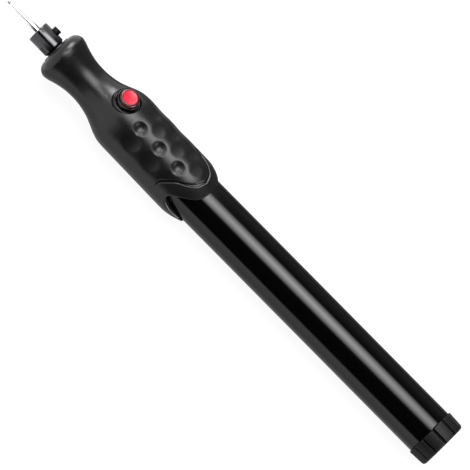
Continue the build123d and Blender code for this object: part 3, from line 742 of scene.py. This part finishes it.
def edge_at(table, angle):
    """Where an edge lies, the same on both sides of the button's plane."""
    return curve_through(table, abs(math.degrees(math.remainder(angle, 2 * math.pi))))


# %% [markdown]
# The dimples are five rows of three. Each is a shallow bowl, let into the grid by lowering every
# vertex inside its mouth. A smooth step in place of a hard rim keeps the edge as soft as moulding
# leaves it. The row beside the crown on the camera's side is deep and crisp, the crown's own row and
# the one beyond it are faint, and the two side rows are broad and shallow. Each row is an angle, a
# setback from the shoulder, the radius of a mouth, a depth, and a lean, which moves the deepest point
# towards the tip and the crown.

# %% Dimples
dimple_pitch = 7.2
dimple_rows = ((0, 7.7, 2.0, 0.2, 0), (21, 4.1, 1.95, 0.7, 0.1), (-21, 4.1, 1.95, 0.12, 0),
               (48, 4.8, 2.9, 0.25, 0), (-48, 4.8, 2.9, 0.25, 0))
dimples = [(math.radians(angle), shoulder_start - setback - dimple_pitch * step, mouth, depth, lean)
           for angle, setback, mouth, depth, lean in dimple_rows for step in range(3)]
rim_softness = 0.25
rim_reach = 4


def dimple_depth(along, angle):
    """How far the cover is let down at a place by the dimples."""
    sunk = 0.0
    for middle_angle, middle, mouth, depth, lean in dimples:
        if abs(along - middle) > mouth + rim_softness:
            continue
        across = grip_radius * math.remainder(angle - middle_angle, 2 * math.pi)
        inside = mouth - math.hypot(along - middle, across)
        towards = (along - middle - math.copysign(across, across * middle_angle)) / mouth / math.sqrt(2)
        bowl = depth * (1 - (1 - inside / mouth) ** 2) * (1 + lean * towards)
        softened = rim_softness * 2 * depth / mouth
        if inside > -rim_softness * rim_reach:
            sunk += (bowl + math.sqrt(bowl * bowl + softened * softened)) / 2
    return sunk


# %% [markdown]
# The cover is one closed skin: its outside with the dimples, the rounded bell, the rim of the nose,
# its inside, and a rounded lip at the rear. It is fine enough for the dimples, about a quarter of a
# millimetre a face, and coarse inside, where nothing shows.

# %% Grip cover
nose_hole = 3.53
seam_table = ((0, 1.0), (58, 1.0), (76, 0.0), (180, 0.0))
seam_gap = (0.03, 0.45)
seam_lip = (0.04, 0.6)
cover_rings = 210
cover_turns = 232
inside_rings = 30
nose_round_steps = 12


def seam_at(angle):
    """Width of the seam and the round of its two lips, which close up low on the sides."""
    share = edge_at(seam_table, angle)
    return [low + (high - low) * share for low, high in (seam_gap, seam_lip)]


def cover_section(angle):
    """One section of the cover: lip, outside, bell, nose and inside."""
    gap, lip_round = seam_at(angle)
    rear = edge_at(cover_edge, angle) + gap
    points = []
    outer, rise = form_at(rear + lip_round)
    for step in range(arc_steps):
        bend = math.pi / 2 * step / arc_steps
        along = rear + lip_round * (1 - math.sin(bend))
        points.append((along, outer - lip_round * (1 - math.cos(bend)), rise))
    points.reverse()
    for step in range(cover_rings + 1):
        along = rear + lip_round + (bell_start - rear - lip_round) * step / cover_rings
        radius, rise = form_at(along)
        points.append((along, radius - dimple_depth(along, angle), rise))
    for step in range(1, nose_round_steps + 1):
        along = bell_start + bell_round * math.sin(math.pi / 2 * step / nose_round_steps)
        radius, rise = form_at(along)
        points.append((along, radius, rise))
    points += [(nose, nose_hole + edge_break, rise), (nose - edge_break, nose_hole, rise),
               (nose - nose_cover, nose_hole, rise)]
    for step in range(inside_rings + 1):
        along = nose - nose_cover - (nose - nose_cover - rear) * step / inside_rings
        points.append((along, *form_at(along, sunk=1, end=nose - nose_cover)))
    return points


cover_bm = wrapped(cover_section, even_turns(cover_turns))

# %% [markdown]
# The cover needs a round hole for the bezel. A hole across a curved grid is the one place where a
# Boolean is the plain way, so a helper cuts one mesh with another and gives back a clean bmesh.

# %% Cutting with a Boolean
def cut(bm, cutter_bm):
    """Cuts one closed mesh from another."""
    scratch = []
    for name, source in (("body", bm), ("cutter", cutter_bm)):
        bmesh.ops.remove_doubles(source, verts=source.verts, dist=weld_distance)
        bmesh.ops.recalc_face_normals(source, faces=source.faces)
        mesh = bpy.data.meshes.new(name)
        source.to_mesh(mesh)
        source.free()
        thing = bpy.data.objects.new(name, mesh)
        scene.collection.objects.link(thing)
        scratch.append(thing)
    body, cutter = scratch
    boolean = body.modifiers.new("cut", "BOOLEAN")
    boolean.operation = "DIFFERENCE"
    boolean.solver = "EXACT"
    boolean.object = cutter
    evaluated = body.evaluated_get(bpy.context.evaluated_depsgraph_get())
    result = bmesh.new()
    result.from_mesh(evaluated.to_mesh())
    for thing in scratch:
        mesh = thing.data
        bpy.data.objects.remove(thing)
        bpy.data.meshes.remove(mesh)
    return result


def upright_plug(radius, low, high):
    """A round cutter on the button's axis."""
    outline = [(pole_radius, low), (radius, low), (radius, high), (pole_radius, high)]
    return turned_upright(outline, button_place)


bezel_radius = half_width("switch_bezel")
bezel_play = 0.08
bezel_hole = bezel_radius + bezel_play
chamber_height = 3.0
above_all = 14.0
cover_bm = cut(cover_bm, upright_plug(bezel_hole, chamber_height, above_all))
cover = mesh_object(cover_bm, "soft_cover", cover_rubber)
keep(cover, "handle", "cover_rubber", "grip_cover")

# %% [markdown]
# The hard shell shows only between the skirt's edge and the cover's edge, but it runs on under the
# cover to the nose. Its thick notched edge is rounded, and that rounding catches the light.

# %% Hard shell
socket_radius = barrel_radius + 0.05
socket_end = barrel_end + 0.1
shell_lip = 0.95
least_edge = 0.3
under_gap = 0.02
motor_step = 0.35
motor_rise = 0.4
shell_rings = 60
under_rings = 24
motor_bore = half_width("motor_can") + 0.03
motor_start = start_of("motor_can")
motor_end = end_of("motor_can")
boss_radius = 3.5
boss_end = nose + under_gap
flange_radius = 4.2
flange_end = start_of("collar") - 0.06
shaft_hole = 1.17


def shell_section(angle):
    """One section of the shell: lip, skirt, seam, under the cover, nose boss and the hollow inside."""
    rear = edge_at(skirt_edge, angle)
    seam = edge_at(cover_edge, angle)
    lip_round = seam_at(angle)[1]
    thick = max(form_at(rear)[0] - socket_radius, least_edge)
    lip = min(shell_lip, thick / 2)
    points = [(rear + lip, socket_radius, 0)]
    for step in range(1, 2 * arc_steps + 1):
        bend = math.pi * step / (2 * arc_steps)
        inner = step <= arc_steps
        lip_along = rear + lip - lip * math.sin(bend)
        form_radius, form_rise = form_at(rear + lip)
        if inner:
            points.append((lip_along, socket_radius + lip * (1 - math.cos(bend)), 0))
        else:
            points.append((lip_along, form_radius - lip * (1 + math.cos(bend)), form_rise))
    first = rear + lip
    last = seam - lip_round
    for step in range(1, shell_rings + 1):
        along = first + (last - first) * step / shell_rings
        points.append((along, *form_at(along)))
    for step in range(1, arc_steps + 1):
        bend = math.pi / 2 * step / arc_steps
        radius, rise = form_at(last)
        points.append((last + lip_round * math.sin(bend), radius - lip_round * (1 - math.cos(bend)), rise))
    under_end = nose - nose_cover - under_gap
    for step in range(under_rings + 1):
        along = seam + (under_end - seam) * step / under_rings
        radius, rise = form_at(along, sunk=1, end=nose - nose_cover)
        points.append((along, radius - under_gap, rise))
    points += [(under_end, boss_radius, spindle_rise), (boss_end, boss_radius, spindle_rise),
               (boss_end, flange_radius, spindle_rise), (flange_end, flange_radius, spindle_rise),
               (flange_end, shaft_hole, spindle_rise), (motor_end, shaft_hole, spindle_rise),
               (motor_end, motor_bore, spindle_rise), (motor_start, motor_bore, spindle_rise),
               (socket_end, bore_radius + motor_step, motor_rise), (socket_end, socket_radius, 0)]
    return points


shell_bm = wrapped(shell_section, even_turns(cover_turns))
bezel_seat, collar_top = heights("switch_bezel")
button_hole_play = 0.3
button_hole = half_width("button_cap") + button_hole_play
shell_bm = cut(shell_bm, upright_plug(bezel_hole, bezel_seat, above_all))
shell_bm = cut(shell_bm, upright_plug(button_hole, chamber_height, above_all))
shell = mesh_object(shell_bm, "hard_shell", shell_plastic)
keep(shell, "handle", "housing_plastic", "grip_housing")

# %% [markdown]
# The bezel is a gloss ring let into the shell. It lies level, so it is sunk at the back, where the grip
# is high, and stands proud in front, where the grip falls away to the neck. Round the button stands a
# thin collar, with a groove between it and the rim. It is plainly turned, from one closed outline.

# %% Bezel
guide_gap = 0.15
bezel_height = 2.75
bezel_groove_depth = 0.35
rim_wall = 0.35
collar_wall = 0.3
bezel_guide = half_width("button_cap") + guide_gap
rim_top = bezel_seat + bezel_height
groove_floor = rim_top - bezel_groove_depth
groove_start = bezel_guide + collar_wall
groove_end = bezel_radius - rim_wall
bezel_outline = with_rounds([
    (bezel_guide, bezel_seat), (bezel_guide, collar_top, 0.12), (groove_start, collar_top, 0.14),
    (groove_start, groove_floor, 0.13), (groove_end, groove_floor, 0.13), (groove_end, rim_top, 0.1),
    (bezel_radius, rim_top, 0.2), (bezel_radius, bezel_seat),
])
bezel = mesh_object(turned_upright(bezel_outline, button_place, closed=True), "button_bezel", bezel_gloss)
keep(bezel, "handle", "bezel_plastic", "switch_bezel")

# %% [markdown]
# The button is a cup with a dished top. The dish is a shallow arc, and a thin flat runs round it
# before the rounded edge: that is the pale ring that the light draws on it. The dish is bright red, and
# the round and the wall carry a deep red that is painted shade, the shade the overhead light leaves on
# them, so the colour is chosen by the distance from the button's axis.
# A Mapping node brings that axis to zero, because patterns are read in the frame of the whole pen.

# %% Button finish
dish_red = (0.64, 0.018, 0.042)
# The deep red is painted shade on the round and the wall of the button, not a second colour of the plastic.
painted_shade_red = (0.085, 0.004, 0.008)
dish_edge = 2.0
edge_softness = 0.12


def button_finish():
    """Glossy red plastic, bright inside the edge of the dish, and outside it a deep red that is painted
    shade.
    """
    material = surface("gloss_red_button", dish_red, 0.28, coat=0.3, grain=0.0002, relief=0.000002)
    nodes = material.node_tree.nodes
    place = next(node for node in nodes if node.type == "TEX_COORD")
    tint = next(node for node in nodes if node.type == "VECT_MATH")
    centre = placed(button_place, 0, 0)
    middle = node_in(material, "ShaderNodeMapping", Location=(-centre.x, -centre.y, 0), Scale=(1, 1, 0))
    reach = node_in(material, "ShaderNodeVectorMath", operation="LENGTH")
    # The share of painted shade: none inside the edge of the dish, all of it past that edge.
    outside = node_in(material, "ShaderNodeMapRange", From_Min=(dish_edge - edge_softness) * mm,
                      From_Max=(dish_edge + edge_softness) * mm)
    colours = node_in(material, "ShaderNodeMix", data_type="RGBA")
    join(material, place, "Object", middle, "Vector")
    join(material, middle, "Vector", reach, 0)
    join(material, reach, "Value", outside, "Value")
    join(material, outside, "Result", colours, "Factor")
    for socket in colours.inputs:
        if socket.type == "RGBA":
            socket.default_value = (*(painted_shade_red if socket.name == "B" else dish_red), 1)
    result = next(socket for socket in colours.outputs if socket.type == "RGBA")
    material.node_tree.links.new(result, tint.inputs[0])
    return material


button_red = button_finish()

# %% Button
button_low, button_top = heights("button_cap")
button_radius = half_width("button_cap")
button_round = 0.6
dish_mouth = button_radius - button_round - 0.05
dish_sag = 0.2
button_wall = 0.5
button_roof = 1.1
hub_radius = 1.3
hub_bore = 0.92
hub_length = 1.2
dish_steps = 12
dish_shares = [step / dish_steps for step in range(dish_steps + 1)]
dish_points = [Vector((pole_radius + dish_mouth * share, button_top - dish_sag * (1 - share ** 2)))
               for share in dish_shares]
roof = button_top - button_roof
cup_radius = button_radius - button_wall
button_outline = dish_points + with_rounds([
    (dish_mouth + 0.04, button_top), (button_radius, button_top, button_round - 0.01),
    (button_radius, button_low, 0.1), (cup_radius, button_low, 0.1), (cup_radius, roof),
    (hub_radius, roof), (hub_radius, roof - hub_length), (hub_bore, roof - hub_length),
    (hub_bore, roof), (pole_radius, roof),
], steps=8)
button = mesh_object(turned_upright(button_outline, button_place), "red_button", button_red)
keep(button, "button", "button_plastic", "button_cap")

# %% [markdown]
# The collar is turned metal: a chamfer at the back, a small round in front, and two bores that meet,
# one for the motor's shaft and one for the bit. The set screw's hole is drilled across it.

# %% Collar
collar_start = start_of("collar")
collar_end = end_of("collar")
collar_radius = half_width("collar")
shaft_bore = half_width("motor_shaft")
shaft_seat = collar_start + 1.85
bit_radius = half_width("bit_shank")
bit_bore = bit_radius + 0.02
collar_chamfer = 0.6
collar_outline = with_rounds([
    (collar_start, shaft_bore), (collar_start, collar_radius - collar_chamfer),
    (collar_start + collar_chamfer, collar_radius, 0.15), (collar_end, collar_radius, 0.35),
    (collar_end, bit_bore, 0.15), (shaft_seat, bit_bore), (shaft_seat, shaft_bore),
])
screw_angle = math.radians(58)
screw_place = (start_of("set_screw") + end_of("set_screw")) / 2
screw_radius = 1.22
drill_radius = screw_radius + 0.03
drill_steps = 64
screw_foot = bit_radius + 0.03
screw_top = collar_radius + 1.1


def on_the_screw_axis(bm):
    """Moves a piece made upright at the origin, in millimetres, to the screw's axis."""
    bmesh.ops.scale(bm, vec=(mm, mm, mm), verts=bm.verts)
    bmesh.ops.rotate(bm, cent=(0, 0, 0), matrix=Matrix.Rotation(screw_angle, 3, "X"), verts=bm.verts)
    bmesh.ops.translate(bm, vec=placed(screw_place, 0, spindle_rise), verts=bm.verts)
    return bm


def screw_drill():
    """The cutter for the set screw's hole."""
    bm = bmesh.new()
    bmesh.ops.create_cone(bm, cap_ends=True, segments=drill_steps, radius1=drill_radius,
                          radius2=drill_radius, depth=collar_radius * 2)
    bmesh.ops.translate(bm, vec=(0, 0, collar_radius), verts=bm.verts)
    return on_the_screw_axis(bm)


collar_bm = cut(turned_along(collar_outline, spindle_rise, closed=True), screw_drill())
collar = mesh_object(collar_bm, "clamp_collar", collar_plating)
keep(collar, "spindle", "collar_metal", "collar")

# %% [markdown]
# The set screw is headless, with a real thread and a hexagonal socket. Its grid is wrapped round the
# screw's own axis: the radius follows the thread, which climbs one pitch in a turn, and the socket's
# radius follows the six flats.

# %% Set screw
thread_pitch = 0.45
thread_depth = 0.16
screw_turns = 72
thread_rings = 64
socket_flats = 1.3
socket_depth = 1.2
screw_chamfer = 0.2
socket_cone = 0.2
socket_break = 0.08
foot_hollow = 0.15
foot_rim = 0.5
foot_break = 0.1


def thread_radius(up, angle, radius, pitch, depth, ends):
    """Radius of a thread at a height and an angle, running out at both ends."""
    phase = (up / pitch - angle / (2 * math.pi)) % 1.0
    flank = min(abs(2 * phase - 1) * 1.6, 1.0)
    fade = min(max(min(up - ends[0], ends[1] - up) / (pitch * 0.6), 0), 1)
    return radius - depth * (1 - flank) * fade


def screw_section(angle):
    """One section of the screw as (radius, height): socket, top, thread and point."""
    flat_angle = (angle + math.pi / 6) % (math.pi / 3) - math.pi / 6
    flat = socket_flats / 2 / math.cos(flat_angle)
    floor = screw_top - socket_depth
    points = [(pole_radius, floor - socket_cone), (flat * 0.98, floor), (flat, screw_top - socket_break),
              (flat + socket_break, screw_top), (screw_radius - screw_chamfer, screw_top)]
    low, high = screw_foot + screw_chamfer, screw_top - screw_chamfer
    for step in range(thread_rings + 1):
        up = high + (low - high) * step / thread_rings
        radius = thread_radius(up, angle, screw_radius, thread_pitch, thread_depth, (low, high))
        points.append((radius, up))
    hollow = screw_foot + foot_hollow
    points += [(screw_radius - screw_chamfer, screw_foot), (foot_rim, screw_foot),
               (foot_rim - foot_break, hollow), (pole_radius, hollow)]
    return points


def round_the_screw(point, angle):
    """A point of a section (radius, height), upright at the origin."""
    radius, up = point
    return Vector((radius * math.cos(angle), radius * math.sin(angle), up))


screw_bm = on_the_screw_axis(wrapped(screw_section, even_turns(screw_turns), round_the_screw, closed=False))
screw = mesh_object(screw_bm, "headless_screw", screw_oxide)
keep(screw, "set_screw", "screw_steel", "set_screw")

# %% [markdown]
# The bit is a ground shank drawn down to a slim neck, and a ball of abrasive grit on its tip. The
# taper is a smooth curve. The ball's grit is real relief: each vertex is pushed out by a fine noise.

# %% Bit
bit_start = start_of("bit_shank")
shank_end = end_of("bit_shank")
tip = end_of("bit_head")
head_radius = half_width("bit_head")
taper_start = collar_end + 3.4
bit_neck = 0.4
taper_table = ((taper_start, bit_radius), (taper_start + 0.5, bit_radius - 0.06), (shank_end - 3.5, 0.82),
               (shank_end - 1.0, 0.47), (shank_end, bit_neck))
taper_steps = 24
bit_outline = with_rounds([(bit_start, pole_radius), (bit_start, bit_radius, 0.2),
                           (taper_start - 0.5, bit_radius)])
for step in range(taper_steps + 1):
    along = taper_start + (shank_end - taper_start) * step / taper_steps
    bit_outline.append(Vector((along, curve_through(taper_table, along))))
bit_outline.append(Vector((shank_end, pole_radius)))
bit = mesh_object(turned_along(bit_outline, spindle_rise), "tapered_shank", bit_steel)
keep(bit, "bit", "bit_steel", "bit_shank")

head_turns = 64
head_rings = 40
head_bm = bmesh.new()
bmesh.ops.create_uvsphere(head_bm, u_segments=head_turns, v_segments=head_rings, radius=1)
grit_height = 0.05
grit_frequency = 5.0
for vert in head_bm.verts:
    grain = noise.noise(vert.co * grit_frequency)
    vert.co *= (head_radius - grit_height * (0.5 + 0.5 * grain)) * mm
bmesh.ops.translate(head_bm, vec=placed(tip - head_radius, 0, spindle_rise), verts=head_bm.verts)
head = mesh_object(head_bm, "grit_ball", head_grit)
keep(head, "bit", "head_grit", "bit_head")

# %% [markdown]
# The plug shows when the cap is screwed off. It is a brass cup with a coarse thread, made as the set
# screw was, but wrapped along the pen.

# %% Threaded plug
plug_start = start_of("tail_plug")
plug_end = end_of("tail_plug")
plug_flange_end = cap_end - 0.45
plug_flange_radius = half_width("tail_plug")
plug_radius = bore_radius - 0.05
plug_floor = start_of("tail_spring")
plug_cup_radius = plug_radius - 1.25
plug_pitch = 1.0
plug_thread_depth = 0.35
plug_rings = 60
plug_turns = 96
plug_break = 0.3


def plug_section(angle):
    """One section of the plug: flange, thread, mouth and cup."""
    points = [(plug_start, pole_radius, 0), (plug_start, plug_flange_radius, 0),
              (plug_flange_end, plug_flange_radius, 0)]
    low, high = plug_flange_end, plug_end - plug_break
    for step in range(plug_rings + 1):
        along = low + (high - low) * step / plug_rings
        radius = thread_radius(along, angle, plug_radius, plug_pitch, plug_thread_depth, (low, high))
        points.append((along, radius, 0))
    points += [(plug_end, plug_radius - plug_break, 0), (plug_end, plug_cup_radius, 0),
               (plug_floor, plug_cup_radius, 0), (plug_floor, pole_radius, 0)]
    return points


plug = mesh_object(wrapped(plug_section, even_turns(plug_turns), closed=False), "brass_plug", brass)
keep(plug, "cap", "plug_brass", "tail_plug")
